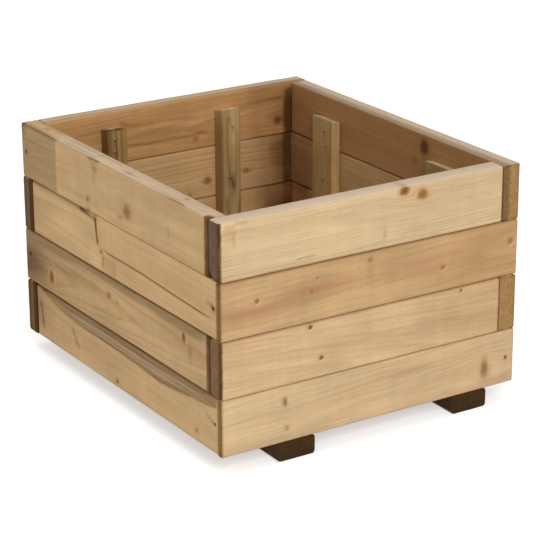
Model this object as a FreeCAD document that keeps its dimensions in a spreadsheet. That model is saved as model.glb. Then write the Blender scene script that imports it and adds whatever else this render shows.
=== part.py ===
"""Rectangular planter box of planed softwood boards, stacked in tiers and lapped at the corners.

Four tiers of eased boards stand on two bearers. Every second tier turns its corners the other
way and lets the side boards into a rebate. Battens nailed inside tie the tiers together, and a
slatted floor rests on the bearers.

Millimetres. X runs along the front, Y from front to back, Z up from the ground, and the origin
is under the middle of the box. Boards and bearers are drawn lying along their own X, with the
show face on Y zero, the thickness along Y and the width along Z, and are then turned into place.
Battens are drawn the same way but standing, with the length along Z.
"""
import FreeCAD, Part
import os
import re
import Sketcher
from FreeCAD import Placement, Rotation, Vector

doc = FreeCAD.newDocument("planter_box")

# Driving dimensions, in millimetres unless they are counts or shares.
SIZES = [
    ("box_width", 565, "outside of the walls, left to right"),
    ("box_depth", 655, "outside of the walls, front to back"),
    ("tier_count", 4, "boards stacked in each wall"),
    ("board_height", 95, "width of a wall board, which stands on edge"),
    ("board_thickness", 32, "thickness of a wall board"),
    ("edge_radius", 7, "easing of a wall board's long edges"),
    ("rim_radius", 3, "easing of the rim, the upper edges of the top boards"),
    ("end_gap", 2, "gap where a board's end meets its neighbour"),
    ("lip_thickness", 11, "lip in front of the rebate that takes a side board's end"),
    ("bearer_width", 70, "width of a bearer"),
    ("bearer_height", 32, "height of a bearer"),
    ("bearer_edge_radius", 5, "easing of a bearer's long edges"),
    ("bearer_setback", 1.5, "bearer's ends behind the faces of the front and back walls"),
    ("bearer_left_inset", 102, "left wall's face to the left bearer"),
    ("bearer_right_inset", 53.5, "right wall's face to the right bearer"),
    ("floor_board_count", 6, "slats of the floor, which share the room between the walls"),
    ("floor_thickness", 20, "thickness of a floor board"),
    ("floor_edge_radius", 3, "easing of a floor board's long edges"),
    ("floor_gap", 3, "drainage gap beside a floor board"),
    ("floor_end_clearance", 2, "floor board's end to the wall"),
    ("end_batten_width", 40, "battens on the front and back walls"),
    ("end_batten_thickness", 25, "battens on the front and back walls"),
    ("end_batten_drop", 23, "top of those battens below the rim"),
    ("end_batten_left_inset", 105, "left wall's inner face to the nearer batten"),
    ("end_batten_right_inset", 125, "right wall's inner face to the nearer batten"),
    ("side_batten_width", 64, "battens on the left and right walls"),
    ("side_batten_thickness", 18, "battens on the left and right walls"),
    ("side_batten_drop", 36, "top of those battens below the rim"),
    ("side_batten_front_inset", 93, "front wall's inner face to the nearer batten"),
    ("side_batten_rear_inset", 96, "back wall's inner face to the nearer batten"),
    ("batten_edge_radius", 2.5, "easing of a batten's long edges"),
    ("batten_bevel", 3, "bevel on the upper end of a batten"),
    ("nail_diameter", 3.4, "lost-head wire nail"),
    ("nail_point_length", 4, "four-sided point of the nail"),
    ("nail_sink", 1, "end of the nail below the wood's face"),
    ("nail_clearance", 0.1, "round a nail and past its point"),
    ("nail_grip", 42, "length of a nail in the second board"),
    ("cut_overrun", 5, "how far a cut runs past the wood"),
]
ALIASES = {alias for alias, _, _ in SIZES}

sheet = doc.addObject("Spreadsheet::Sheet", "Sizes")
for row, (alias, number, note) in enumerate(SIZES, start=1):
    sheet.set(f"A{row}", alias)
    sheet.set(f"B{row}", str(number))
    sheet.set(f"C{row}", note)
    sheet.setAlias(f"B{row}", alias)
doc.recompute()


def on_sheet(formula):
    """A formula in the sheet's words, such as 'box_width / 2', as an expression."""
    return re.sub(r"[a-z_]+", lambda word: "Sizes." * (word[0] in ALIASES) + word[0], formula)


def worth(formula):
    """What such a formula comes to, as a number."""
    return float(sheet.evalExpression(on_sheet(formula)))


TIERS = int(worth("tier_count"))
FLOOR_COUNT = int(worth("floor_board_count"))
FLOOR_PITCH = "((box_depth - 2 * board_thickness - floor_gap) / floor_board_count)"

# Walls in the order met when walking round the box: turn, length and where the battens stand,
# both measured from the wall's left corner as seen from outside.
WALLS = {
    "front": (0, "box_width", "end", "left", "right"),
    "right": (90, "box_depth", "side", "front", "rear"),
    "back": (180, "box_width", "end", "right", "left"),
    "left": (270, "box_depth", "side", "rear", "front"),
}
CORNERS = {
    "front": ("-box_width / 2", "-box_depth / 2"),
    "right": ("box_width / 2", "-box_depth / 2"),
    "back": ("box_width / 2", "box_depth / 2"),
    "left": ("-box_width / 2", "box_depth / 2"),
}
LENGTHWAYS = Vector(1, 0, 0)
INTO_WOOD = Vector(0, 1, 0)
UPRIGHT = Vector(0, 0, 1)
PARALLEL_SHARE = 0.01
FACE_UP = Rotation(LENGTHWAYS, -UPRIGHT, INTO_WOOD)
FRONT_TO_BACK = Rotation(INTO_WOOD, UPRIGHT, LENGTHWAYS)


def origin_plane(body, role):
    """One of the body's own base planes."""
    return next(item for item in body.Origin.OriginFeatures if item.Role == role)


def wall_point(wall, along, inward="0"):
    """Where a point of a wall lies, from its left corner along it and inward from its face."""
    x, y = CORNERS[wall]
    return {
        "front": (f"{x} + ({along})", f"{y} + ({inward})"),
        "right": (f"{x} - ({inward})", f"{y} + ({along})"),
        "back": (f"{x} - ({along})", f"{y} - ({inward})"),
        "left": (f"{x} + ({inward})", f"{y} - ({along})"),
    }[wall]


def hold(sketch, element, point, across, up):
    """Fix a point of a sketch at two formulas: zero lies on an axis, a minus sign left of it."""
    for kind, axis, formula in (("DistanceX", -2, across), ("DistanceY", -1, up)):
        if formula == "0":
            sketch.addConstraint(Sketcher.Constraint("PointOnObject", element, point, axis))
            continue
        ends = (-1, 1, element, point)
        if formula.startswith("-"):
            formula = formula[1:]
            ends = (element, point, -1, 1)
        index = sketch.addConstraint(Sketcher.Constraint(kind, *ends, worth(formula)))
        sketch.setExpression(f"Constraints[{index}]", on_sheet(formula))


def add_sketch(body, label, role, offset="0"):
    """An empty sketch on a base plane, moved along the plane's normal by a formula."""
    sketch = body.newObject("Sketcher::SketchObject", label)
    sketch.AttachmentSupport = [(origin_plane(body, role), "")]
    sketch.MapMode = "FlatFace"
    if offset != "0":
        sketch.setExpression(".AttachmentOffset.Base.z", on_sheet(offset))
    return sketch


def add_rectangle(sketch, left, right, low, high):
    """A closed rectangle between four formulas."""
    corners = [Vector(worth(x), worth(y), 0) for x, y in
               ((left, low), (right, low), (right, high), (left, high))]
    for first in range(4):
        sketch.addGeometry(Part.LineSegment(corners[first], corners[(first + 1) % 4]))
    for first in range(4):
        sketch.addConstraint(Sketcher.Constraint("Coincident", first, 2, (first + 1) % 4, 1))
    for side in range(4):
        kind = "Horizontal" if side % 2 == 0 else "Vertical"
        sketch.addConstraint(Sketcher.Constraint(kind, side))
    hold(sketch, 0, 1, left, low)
    hold(sketch, 1, 2, right, high)


def add_nail_circle(sketch, across, up):
    """The outline of a nail's hole about a centre given as two formulas."""
    hole = "nail_diameter + 2 * nail_clearance"
    centre = Vector(worth(across), worth(up), 0)
    circle = sketch.addGeometry(Part.Circle(centre, UPRIGHT, worth(hole) / 2))
    hold(sketch, circle, 3, across, up)
    index = sketch.addConstraint(Sketcher.Constraint("Diameter", circle, worth(hole)))
    sketch.setExpression(f"Constraints[{index}]", on_sheet(hole))


def cut(body, sketch, label, depth, along_normal):
    """Cut a sketch into its body, to a depth or right through, and prove that wood came off."""
    before = body.Tip.Shape.Volume
    pocket = body.newObject("PartDesign::Pocket", label)
    pocket.Profile = sketch
    pocket.Reversed = along_normal
    if depth == "through":
        pocket.Type = "ThroughAll"
    else:
        pocket.setExpression("Length", on_sheet(depth))
    sketch.Visibility = False
    doc.recompute()
    if not pocket.Shape.Volume < before:
        raise RuntimeError(f"{body.Label}: {label} cuts nothing")
    return pocket


def set_in_place(body, turn, place):
    """Turn a finished bar and set its corner at three formulas."""
    body.Placement = Placement(Vector(), turn)
    for axis, formula in zip("xyz", place):
        body.setExpression(f".Placement.Base.{axis}", on_sheet(formula))
    doc.recompute()


def pad_rectangle(label, role, across, up, length):
    """A new body with a rectangle, from its origin out to two formulas, drawn out to a length."""
    body = doc.addObject("PartDesign::Body", label)
    body.Label = label
    section = add_sketch(body, f"{label}_section", role)
    add_rectangle(section, "0", across, "0", up)
    pad = body.newObject("PartDesign::Pad", f"{label}_bar")
    pad.Profile = section
    pad.setExpression("Length", on_sheet(length))
    section.Visibility = False
    doc.recompute()
    return body


def edges_along(body, direction, wanted=lambda centre: True):
    """The body's straight edges along a direction, as far as their middles are wanted."""
    return [f"Edge{number}" for number, edge in enumerate(body.Tip.Shape.Edges, start=1)
            if edge.Curve.TypeId == "Part::GeomLine"
            and edge.tangentAt(edge.FirstParameter).cross(direction).Length < PARALLEL_SHARE
            and wanted(edge.CenterOfMass)]


def dress(body, kind, label, edges, property_name, size):
    """A fillet or a chamfer of one size on some edges of the body so far."""
    base = body.Tip
    feature = body.newObject(f"PartDesign::{kind}", label)
    feature.Base = (base, edges)
    feature.setExpression(property_name, on_sheet(size))
    doc.recompute()


def add_bar(label, length, thickness, width, radius, upper_radius):
    """A lying bar with its long edges eased, the lower two and then the upper two."""
    body = pad_rectangle(label, "YZ_Plane", thickness, width, length)
    half = worth(width) / 2
    lower = edges_along(body, LENGTHWAYS, lambda centre: centre.z < half)
    dress(body, "Fillet", f"{label}_easing", lower, "Radius", radius)
    upper = edges_along(body, LENGTHWAYS, lambda centre: centre.z > half)
    dress(body, "Fillet", f"{label}_upper_easing", upper, "Radius", upper_radius)
    return body


# Where each corner nail goes: the board it is driven through and its end's centre in that board.
NAIL_PLACES = []


def nail_through(board, label, across):
    """A hole from a board's show face right through it, at mid height, and the nail's place."""
    up = "board_height / 2"
    sketch = add_sketch(board, f"{label}_nail_centre", "XZ_Plane")
    add_nail_circle(sketch, across, up)
    cut(board, sketch, f"{label}_nail_hole", "through", False)
    NAIL_PLACES.append((board, Vector(worth(across), worth("nail_sink"), worth(up))))


def pilot_hole(board, label, offset, across, along_normal):
    """The blind hole that takes a nail's point, in the board's end or in the rebate's shoulder."""
    sketch = add_sketch(board, f"{label}_pilot_centre", "YZ_Plane", offset)
    add_nail_circle(sketch, across, "board_height / 2")
    cut(board, sketch, f"{label}_pilot", "nail_grip + nail_clearance", along_normal)


def wall_board(wall, tier):
    """One board of a wall. Tier 1 is the top one, and even tiers turn their corners round."""
    turn, span, kind, _, _ = WALLS[wall]
    label = f"{wall}_board_{tier}"
    middle = "board_thickness / 2"
    start = "0"
    length = f"{span} - board_thickness - end_gap"
    if tier % 2 == 0 and kind == "side":
        start = "(board_thickness + end_gap)"
        length = f"{span} - board_thickness - lip_thickness - 2 * end_gap"
    elif tier % 2 == 0:
        length = span
    upper_radius = "rim_radius" if tier == 1 else "edge_radius"
    board = add_bar(label, length, "board_thickness", "board_height", "edge_radius", upper_radius)

    if tier % 2 == 1:
        pilot_hole(board, label, length, middle, False)
        nail_through(board, label, middle)
    elif kind == "side":
        pilot_hole(board, label, "0", middle, True)
        nail_through(board, label, f"{span} - (lip_thickness + board_thickness) / 2 - {start}")
    else:
        shoulder = "board_thickness + end_gap"
        rebate = add_sketch(board, f"{label}_rebate_outline", "XY_Plane")
        add_rectangle(rebate, "-cut_overrun", shoulder, "lip_thickness", "board_thickness + cut_overrun")
        cut(board, rebate, f"{label}_rebate", "through", True)
        pilot_hole(board, label, shoulder, "(lip_thickness + board_thickness) / 2", True)
        nail_through(board, label, f"{span} - {middle}")

    set_in_place(board, Rotation(UPRIGHT, turn),
                 (*wall_point(wall, start), f"bearer_height + {TIERS - tier} * board_height"))
    return board


def bearer(side):
    """One of the two bearers that run front to back under the box."""
    label = f"bearer_{side}"
    body = add_bar(label, "box_depth - 2 * bearer_setback", "bearer_height", "bearer_width",
                   "bearer_edge_radius", "bearer_edge_radius")
    left = {"left": "-box_width / 2 + bearer_left_inset",
            "right": "box_width / 2 - bearer_right_inset - bearer_width"}[side]
    set_in_place(body, FRONT_TO_BACK, (left, "-box_depth / 2 + bearer_setback", "0"))
    return body


def floor_board(number):
    """One slat of the floor, counted from the front."""
    label = f"floor_board_{number}"
    start = "board_thickness + floor_end_clearance"
    body = add_bar(label, f"box_width - 2 * ({start})", "floor_thickness", f"{FLOOR_PITCH} - floor_gap",
                   "floor_edge_radius", "floor_edge_radius")
    set_in_place(body, FACE_UP,
                 (f"-box_width / 2 + {start}",
                  f"-box_depth / 2 + board_thickness + floor_gap + {number - 1} * {FLOOR_PITCH}",
                  "bearer_height + floor_thickness"))
    return body


def batten(wall, place):
    """An upright batten inside a wall, near its left or right, or its front or rear."""
    turn, span, kind, _, far = WALLS[wall]
    label = f"{wall}_batten_{place}"
    width = f"{kind}_batten_width"
    thickness = f"{kind}_batten_thickness"
    length = f"tier_count * board_height - {kind}_batten_drop - floor_thickness"
    body = pad_rectangle(label, "XY_Plane", width, thickness, length)
    show_side = worth(thickness) / 2
    upper_half = worth(length) / 2
    top_edge = edges_along(body, LENGTHWAYS, lambda at: at.y < show_side and at.z > upper_half)
    dress(body, "Chamfer", f"{label}_bevel", top_edge, "Size", "batten_bevel")
    show_edges = edges_along(body, UPRIGHT, lambda at: at.y < show_side)
    dress(body, "Fillet", f"{label}_easing", show_edges, "Radius", "batten_edge_radius")

    along = f"board_thickness + {kind}_batten_{place}_inset + {width}"
    if place == far:
        along = f"{span} - board_thickness - {kind}_batten_{place}_inset"
    set_in_place(body, Rotation(UPRIGHT, turn + 180),
                 (*wall_point(wall, along, f"board_thickness + {thickness}"),
                  "bearer_height + floor_thickness"))
    return body


def wire_nail():
    """A lost-head nail along Z with its four-sided point: a round wire cut by two crossed wedges."""
    width = worth("nail_diameter")
    length = worth("board_thickness - nail_sink + end_gap + nail_grip")
    slope_start = length - 2 * worth("nail_point_length")
    gable = Part.makePolygon([Vector(-width, -width, 0), Vector(width, -width, 0),
                              Vector(width, -width, slope_start), Vector(0, -width, length),
                              Vector(-width, -width, slope_start), Vector(-width, -width, 0)])
    wedge = Part.Face(gable).extrude(Vector(0, 2 * width, 0))
    crossed = wedge.copy()
    crossed.rotate(Vector(), UPRIGHT, 90)
    return Part.makeCylinder(width / 2, length).common(wedge).common(crossed).Solids[0]


def corner_nails():
    """The nails that tie the corners, each its own solid, in the holes made for them."""
    nail = wire_nail()
    solids = []
    for board, point in NAIL_PLACES:
        inward = board.Placement.Rotation.multVec(INTO_WOOD)
        solid = nail.copy()
        solid.Placement = Placement(board.Placement.multVec(point), Rotation(UPRIGHT, inward))
        solids.append(solid)
    group = doc.addObject("Part::Feature", "corner_nails")
    group.Shape = Part.makeCompound(solids)
    group.Placement = Placement()
    return group


sub_parts = [wall_board(wall, tier) for tier in range(1, TIERS + 1) for wall in WALLS]
sub_parts += [batten(wall, place) for wall in WALLS for place in WALLS[wall][3:]]
sub_parts += [bearer(side) for side in ("left", "right")]
sub_parts += [floor_board(number) for number in range(1, FLOOR_COUNT + 1)]
sub_parts += [corner_nails()]
doc.recompute()

for item in doc.Objects:
    if {"Invalid", "Error"} & set(item.State):
        raise RuntimeError(f"{item.Label} failed: {item.State}")
for item in sub_parts:
    if item.Shape.isNull() or not item.Shape.isValid():
        raise RuntimeError(f"{item.Label} has no valid shape")

os.makedirs("parts", exist_ok=True)
for item in sub_parts:
    item.Shape.exportStep(f"parts/{item.Label}.step")
    box = item.Shape.BoundBox
    size = f"{box.XLength:.1f} x {box.YLength:.1f} x {box.ZLength:.1f}"
    print(f"{item.Label}: {len(item.Shape.Solids)} solids, {size}")
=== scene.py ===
"""Wooden planter box of stacked softwood boards: its looks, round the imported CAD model."""
import math
import random
from functools import partial

import bmesh
import bpy
import numpy as np
from mathutils import Matrix, Vector


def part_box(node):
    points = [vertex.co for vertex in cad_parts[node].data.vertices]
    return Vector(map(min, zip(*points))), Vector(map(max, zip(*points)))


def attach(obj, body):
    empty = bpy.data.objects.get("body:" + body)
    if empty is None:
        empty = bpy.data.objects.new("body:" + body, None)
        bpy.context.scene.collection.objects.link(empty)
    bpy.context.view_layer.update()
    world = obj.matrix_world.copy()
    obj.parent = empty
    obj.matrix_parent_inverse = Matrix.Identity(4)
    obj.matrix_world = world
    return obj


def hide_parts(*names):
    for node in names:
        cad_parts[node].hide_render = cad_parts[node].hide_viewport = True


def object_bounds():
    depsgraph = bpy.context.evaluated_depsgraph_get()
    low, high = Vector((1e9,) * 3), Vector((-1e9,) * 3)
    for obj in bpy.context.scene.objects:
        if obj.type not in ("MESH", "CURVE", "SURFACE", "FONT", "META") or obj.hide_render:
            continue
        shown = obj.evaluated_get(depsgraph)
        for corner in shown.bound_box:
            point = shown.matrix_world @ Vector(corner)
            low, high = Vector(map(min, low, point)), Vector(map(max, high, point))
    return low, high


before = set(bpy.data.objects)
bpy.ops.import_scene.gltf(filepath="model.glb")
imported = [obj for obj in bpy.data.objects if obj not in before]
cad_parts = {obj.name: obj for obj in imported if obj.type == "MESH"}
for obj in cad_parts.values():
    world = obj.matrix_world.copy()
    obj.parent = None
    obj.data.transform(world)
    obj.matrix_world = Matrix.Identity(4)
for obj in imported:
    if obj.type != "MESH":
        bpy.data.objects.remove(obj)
CAD_LOW, CAD_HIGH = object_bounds()

bl_info = {
    "name": "Wooden planter box",
    "version": (1, 0, 0),
    "blender": (4, 5, 0),
    "location": "View3D > Sidebar > Planter",
    "description": "Boards, battens, floor, bearers and nails of a softwood planter and a studio",
    "category": "Add Mesh",
}

MM = 0.001
WALLS = ("front", "right", "back", "left")
TIERS = (1, 2, 3, 4)


def linear(code):
    """Linear red, green and blue of an sRGB hex value."""
    parts = [int(code[place:place + 2], 16) / 255 for place in (1, 3, 5)]
    return tuple(c / 12.92 if c <= 0.04045 else ((c + 0.055) / 1.055) ** 2.4 for c in parts)


def length(name, text, default):
    """A length that a user may change, in metres."""
    return bpy.props.FloatProperty(
        name=name, description=text, default=default, min=0.0, unit="LENGTH", precision=4
    )


def colour(name, text, code):
    """A colour that a user may change."""
    return bpy.props.FloatVectorProperty(
        name=name, description=text, default=linear(code), size=3, min=0.0, max=1.0, subtype="COLOR"
    )


class PlanterSizes(bpy.types.PropertyGroup):
    """Sizes of the wooden pieces, beside those that the frame gives."""

    wall_arris: length("Wall arris", "Radius of the outer long edges of a wall board", 4.5 * MM)
    inner_arris: length("Inner arris", "Radius of the inner long edges of a wall board", 3.5 * MM)
    rim_arris: length("Rim arris", "Radius of the upper edges of the top boards", 3 * MM)
    rebate: length("Rebate", "Length of the rebate at a lapped board's left end", 34 * MM)
    lip: length("Lip", "Thickness of the wood that the rebate leaves", 11 * MM)
    batten_arris: length("Batten arris", "Radius of the upright edges of a batten", 2.5 * MM)
    floor_arris: length("Floor board arris", "Radius of the long edges of a floor board", 3 * MM)
    bearer_arris: length("Bearer arris", "Radius of the long edges of a bearer", 5 * MM)
    grid: length("Grid", "Distance between the vertices on a wall board", 3 * MM)
    nail_head: length("Nail head", "Diameter of a batten nail's head", 4.4 * MM)
    ring: length("Growth ring", "Width of a year's growth", 3.4 * MM)


class PlanterColours(bpy.types.PropertyGroup):
    """Colours of the wood, the nails and the studio."""

    early: colour("Early wood", "Pale wood of spring growth", "#EACC9C")
    late: colour("Late wood", "Darker wood of summer growth", "#B98A52")
    warm: colour("Reddish wood", "Reddish tan tinge of the heartwood", "#D0985C")
    resin: colour("Resin streak", "Pinkish brown of resinous wood", "#C48A62")
    # Also laid on the top faces of the top boards as a painted sheen, and round two batten nails as
    # painted glints.
    pale: colour("Bleached wood", "Pinkish grey of a top edge in the sun", "#D9C7B2")
    knot: colour("Knot", "Wood of a sound knot", "#A66F36")
    knot_core: colour("Knot core", "Dark core and bark line of a knot", "#4C2810")
    # Laid over every dark mark: real stains, and the painted shade in the inner corners, on the
    # inner faces, in the corner joint gaps and along the seams.
    dirt_and_shade: colour("Dark stain", "Stains round nails, cracks and seams", "#4B2F10")
    weather: colour("Weathered wood", "Grey-brown bloom on old wood", "#A0845A")
    end_early: colour("End grain", "Sawn end grain", "#B58D58")
    end_late: colour("End grain ring", "Late wood of the sawn end", "#6E4E30")
    end_grey: colour("Weathered end grain", "Mauve-grey of a sawn end that has stood", "#6A5442")
    batten: colour("Batten", "Olive-brown treated batten", "#C2A673")
    bearer: colour("Bearer", "Dark brown preservative stain", "#452F14")
    nail: colour("Bright nail", "Wire nail that has kept its shine", "#D3C6A8")
    rust: colour("Dulled nail", "Wire nail that has gone dark", "#5A4632")
    paper: colour("Studio paper", "Pale paper under the box", "#F2F2F2")


class PlanterSettings(bpy.types.PropertyGroup):
    """All that a user may change."""

    sizes: bpy.props.PointerProperty(
        type=PlanterSizes, name="Sizes", description="Sizes of the wood"
    )
    colours: bpy.props.PointerProperty(
        type=PlanterColours, name="Colours", description="Colours of the wood and the studio"
    )


# Shader nodes

NOISE = (0.3, 0.7)  # the range in which nearly all of a noise texture's values lie


def add_node(tree, kind, *values, inputs=None, **settings):
    """Adds a shader node. Values fill its enabled inputs in order, and inputs fill them by name."""
    made = tree.nodes.new("ShaderNode" + kind)
    for key, value in settings.items():
        setattr(made, key, value)
    filled = list(zip((socket for socket in made.inputs if socket.enabled), values))
    filled += [(made.inputs[key], value) for key, value in (inputs or {}).items()]
    for socket, value in filled:
        if isinstance(value, bpy.types.Node):
            value = next(output for output in value.outputs if output.enabled)
        if isinstance(value, bpy.types.NodeSocket):
            tree.links.new(value, socket)
        elif hasattr(value, "__len__") and len(value) < len(socket.default_value):
            socket.default_value = (*value, 1.0)
        else:
            socket.default_value = value
    return made


def new_material(name):
    """An empty node material, and add_node for its tree."""
    made = bpy.data.materials.new(name)
    made.use_nodes = True
    made.node_tree.nodes.clear()
    return made, partial(add_node, made.node_tree)


def grain_noise(node, grain, stretch, detail, roughness=0.5):
    """Noise stretched by the scales along, across and through the grain."""
    place = node("VectorMath", grain, stretch, operation="MULTIPLY")
    return node("TexNoise", place, 1.0, detail, roughness)


def painted(node, name):
    """The red, green, blue and alpha of one of the board's colour attributes."""
    made = node("Attribute", attribute_name=name)
    return *node("SeparateColor", made).outputs, made.outputs["Alpha"]


def ring_pattern(node, ring):
    """Growth rings read from the attribute that follows the grain.

    Returns the late wood's share and the grain vector.
    """
    grain = node("Attribute", attribute_name="grain").outputs["Vector"]
    parts = node("SeparateXYZ", grain)
    wander = grain_noise(node, grain, (1.6, 9.0, 9.0), 2.0)
    squares = [node("Math", parts.outputs[axis], 2.0, operation="POWER") for axis in "YZ"]
    radius = node("Math", node("Math", *squares, operation="ADD"), operation="SQRT")
    bent = node("Math", wander, 0.010, radius, operation="MULTIPLY_ADD")
    years = node("Math", bent, ring, operation="DIVIDE")
    # A year's wood darkens slowly towards its late wood and ends abruptly.
    season = node("ValToRGB", node("Math", years, operation="FRACT"))
    stops = season.color_ramp.elements
    stops.remove(stops[1])
    for place, shade in ((0.45, 0.12), (0.78, 0.7), (0.9, 1.0), (1.0, 0.05)):
        stops.new(place).color = (shade, shade, shade, 1.0)
    year = node("Math", years, operation="FLOOR")
    chance = node("TexWhiteNoise", year, noise_dimensions="1D")
    strength = node("Math", chance, 0.8, 0.3, operation="MULTIPLY_ADD")
    return node("Math", season, strength, operation="MULTIPLY"), grain


def lay_colour(node, wood, colour, noise, low, high, share, **settings):
    """Mixes a colour into the wood. The noise makes its share uneven, between low and high.

    Returns the wood and the share.
    """
    uneven = node("MapRange", noise, *NOISE, low, high)
    share = node("Math", uneven, share, operation="MULTIPLY", use_clamp=True)
    return node("Mix", share, wood, colour, data_type="RGBA", **settings), share


def knot_layers(node, wood, grain, warm, colours):
    """Lays knots over the wood. Each is read from its own place, in radii from its middle.

    A dead knot is a dark plug with a dull collar and torn, pale fibres at its lower right. A live
    one, whose strength is below 0, is a soft brown oval with rings of its own.
    """
    knot = node("Attribute", attribute_name="knot").outputs["Vector"]
    x, y, sign = node("SeparateXYZ", knot).outputs
    flat = node("CombineXYZ", x, y)
    apart = node("Math", node("SeparateXYZ", grain), 7.0, operation="MULTIPLY")
    own = node("CombineXYZ", x, y, apart)
    strength = node("Math", sign, operation="ABSOLUTE")
    live = node("Math", sign, 0.0, operation="LESS_THAN")
    uneven = node("TexNoise", own, 1.7, 3.0)
    reach = node("VectorMath", flat, operation="LENGTH")
    reach = node("Math", uneven, 0.7, reach, operation="MULTIPLY_ADD")
    reach = node("Math", reach, 0.35, operation="SUBTRACT")

    collar_far = node("MapRange", live, 0.0, 1.0, 2.4, 1.9)
    collar = node("MapRange", reach, 0.9, collar_far, 0.5, 0.0)
    collar = node("Math", collar, strength, operation="MULTIPLY", use_clamp=True)
    wood = node("Mix", collar, wood, warm, data_type="RGBA")

    side = node("VectorMath", flat, (0.55, -0.75, 0.0), operation="DOT_PRODUCT")
    torn = node("MapRange", side, 0.45, 0.95, 0.0, 1.0)
    fade = node("MapRange", reach, 1.2, 1.9, 0.8, 0.0)
    torn = node("Math", torn, fade, operation="MULTIPLY")
    torn = node("Math", torn, sign, operation="MULTIPLY", use_clamp=True)
    wood = node("Mix", torn, wood, colours.early, data_type="RGBA")

    rings = node("Math", reach, 17.0, operation="MULTIPLY")
    rings = node("MapRange", node("Math", rings, operation="SINE"), -1.0, 1.0, 0.0, 0.38)
    live_core = node("MapRange", reach, 0.1, 0.55, 0.5, 0.05)
    live_dark = node("Math", rings, live_core, operation="MAXIMUM")
    dead_dark = node("MapRange", reach, 0.3, 0.85, 0.95, 0.1)
    dark = node("Mix", live, dead_dark, live_dark)
    plug = node("Mix", dark, colours.knot, colours.knot_core, data_type="RGBA")
    edge = node("MapRange", reach, 0.55, 1.15, 1.0, 0.0)
    seen = node("Math", edge, strength, operation="MULTIPLY", use_clamp=True)
    return node("Mix", seen, wood, plug, data_type="RGBA")


def softwood(name, planter, early, late, warm):
    """Softwood, planed and pressure treated: dull, with darker late wood, knots and weather."""
    made, node = new_material(name)
    colours = planter.colours
    late_share, grain = ring_pattern(node, planter.sizes.ring)
    # Fibres about 1.5 mm wide and 70 mm long, coarser than real ones so that they show.
    fibre = grain_noise(node, grain, (12.0, 560.0, 560.0), 3.0, 0.65)
    band = grain_noise(node, grain, (1.8, 55.0, 55.0), 2.0)
    blotch = grain_noise(node, grain, (9.0, 26.0, 26.0), 4.0)
    # The planer's knives leave faint ripples across the board, some 10 to 20 mm apart.
    ripple = grain_noise(node, grain, (70.0, 5.0, 5.0), 2.0)
    # The attributes carry the board's brightness, warmth, ring contrast and its four marks.
    brightness, warmth, contrast, _ = painted(node, "tone")
    dirt_and_shade_level, weathered, resinous, pale_and_sheen = painted(node, "marks")

    late_seen = node("Math", late_share, contrast, operation="MULTIPLY")
    wood = node("Mix", late_seen, early, late, data_type="RGBA")
    uneven = node("MapRange", band, 0.35, 0.65, -0.08, 0.08)
    redness = node("Math", uneven, warmth, operation="ADD", use_clamp=True)
    wood = node("Mix", redness, wood, warm, data_type="RGBA")
    wood, _ = lay_colour(node, wood, colours.resin, band, 0.6, 1.2, resinous)

    # Fibres, bands, blotches and ripples darken and lighten the wood by a few percent.
    streak = node("MapRange", fibre, *NOISE, 0.875, 1.095)
    broad = node("MapRange", band, *NOISE, 1.06, 0.93)
    ripple = node("MapRange", ripple, *NOISE, 0.97, 1.025)
    patch = node("MapRange", blotch, *NOISE, 0.885, 1.105)
    broad = node("Math", broad, ripple, operation="MULTIPLY")
    shade = streak
    for factor in (broad, patch, brightness):
        shade = node("Math", shade, factor, operation="MULTIPLY")
    wood = node("VectorMath", wood, shade, operation="SCALE")
    wood = knot_layers(node, wood, grain, warm, colours)

    # Weather, pale marks and painted sheen, dirt and painted shade lie over the wood and break up
    # with the fibres and blotches.
    wood, _ = lay_colour(node, wood, colours.weather, fibre, 0.55, 1.3, weathered)
    wood, _ = lay_colour(node, wood, colours.pale, fibre, 0.7, 1.1, pale_and_sheen)
    wood, dirt_and_shade = lay_colour(
        node, wood, linear("#94744A"), blotch, 0.8, 1.2, dirt_and_shade_level, blend_type="MULTIPLY")
    cover = node("MapRange", dirt_and_shade, 0.55, 1.0, 0.0, 0.75)
    wood = node("Mix", cover, wood, colours.dirt_and_shade, data_type="RGBA")

    gloss = node("MapRange", fibre, *NOISE, 0.82, 0.68)
    relief = node("Math", late_share, 0.5, fibre, operation="MULTIPLY_ADD")
    bump = node("Bump", inputs={"Strength": 0.3, "Distance": 0.0003, "Height": relief})
    node("OutputMaterial", node("BsdfPrincipled", inputs={
        "Base Color": wood, "Roughness": gloss, "IOR": 1.5, "Specular IOR Level": 0.22,
        "Normal": bump}))
    return made


def end_grain(name, planter, fresh, late, grey):
    """Sawn end grain: arcs of growth rings under the fine ridges of the saw, dull and dark."""
    made, node = new_material(name)
    late_share, grain = ring_pattern(node, planter.sizes.ring)
    # Saw ridges stand a little over a millimetre apart and run from face to face.
    ridge = grain_noise(node, grain, (0.0, 900.0, 60.0), 3.0, 0.7)
    mottle = grain_noise(node, grain, (0.0, 110.0, 110.0), 4.0)
    brightness, _, _, greyness = painted(node, "tone")
    dirt_and_shade_level = painted(node, "marks")[0]

    seen = node("Math", late_share, 0.55, operation="MULTIPLY")
    wood = node("Mix", seen, fresh, late, data_type="RGBA")
    wood = node("Mix", greyness, wood, grey, data_type="RGBA")
    light = node("MapRange", ridge, *NOISE, 0.8, 1.16)
    cloud = node("MapRange", mottle, *NOISE, 0.84, 1.12)
    shade = node("Math", light, cloud, operation="MULTIPLY")
    shade = node("Math", shade, brightness, operation="MULTIPLY")
    wood = node("VectorMath", wood, shade, operation="SCALE")
    wood = node("Mix", dirt_and_shade_level, wood, linear("#4A2F16"), data_type="RGBA")
    relief = node("Math", late_share, 0.4, ridge, operation="MULTIPLY_ADD")
    bump = node("Bump", inputs={"Strength": 0.5, "Distance": 0.0006, "Height": relief})
    node("OutputMaterial", node("BsdfPrincipled", inputs={
        "Base Color": wood, "Roughness": 0.9, "IOR": 1.5, "Specular IOR Level": 0.12,
        "Normal": bump}))
    return made


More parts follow.
